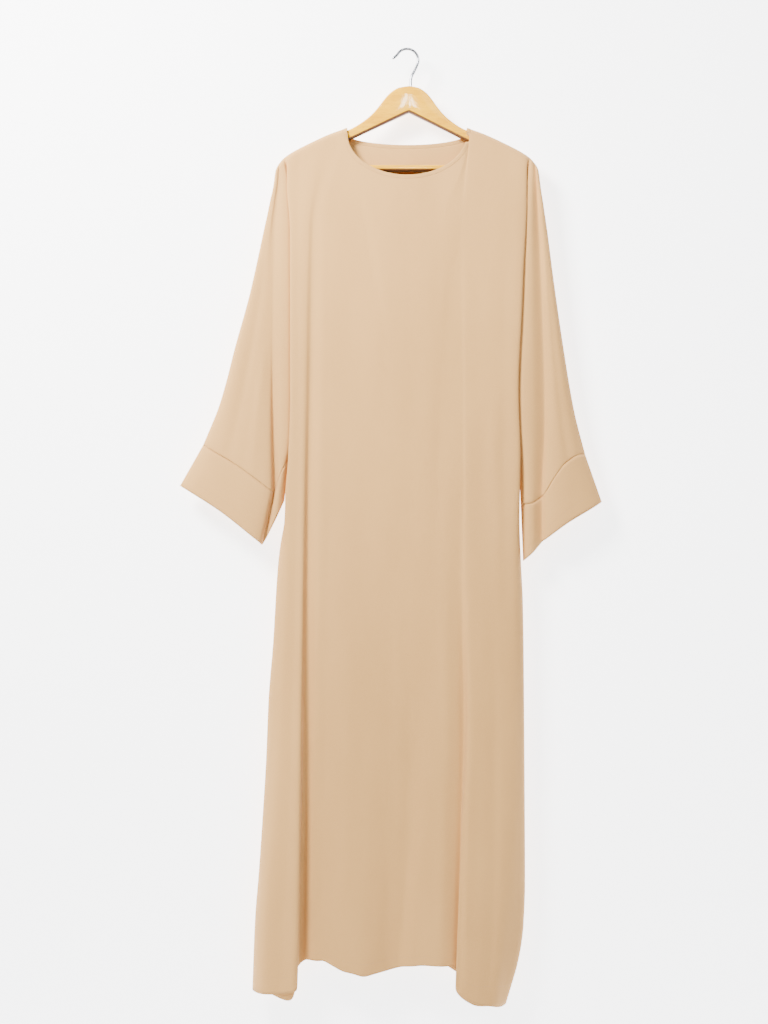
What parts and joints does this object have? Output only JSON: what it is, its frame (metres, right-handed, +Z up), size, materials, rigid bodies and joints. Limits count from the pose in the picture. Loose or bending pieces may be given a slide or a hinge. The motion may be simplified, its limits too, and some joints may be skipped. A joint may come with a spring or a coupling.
{
  "type": "abaya on a clothes hanger",
  "caption": "Plain long pullover abaya with cut-on wide sleeves, deep cuffs and a round bound neck, hanging flat from a wooden hanger with a wire hook.",
  "frame": {"origin": "inside top of the hanger's hook, where the rail carries it", "axes": "+Z up, along the garment's length; -Y the wearer's front; +X to the right of the front view"},
  "size_m": [0.7097, 0.0725, 1.6093],
  "materials": {
    "cloth": "matte crepe weave with a soft sheen",
    "binding": "the same cloth cut on the bias",
    "wood": "clear gloss lacquer over yellow wood",
    "wire": "bright plated wire"
  },
  "bodies": {
    "root": {"front": "cloth", "back": "cloth", "cuff_left": "cloth", "cuff_right": "cloth", "neck_binding": "binding", "hanger_wood": "wood", "hanger_bar": "wood", "hanger_hook": "wire"}
  },
  "joints": []
}
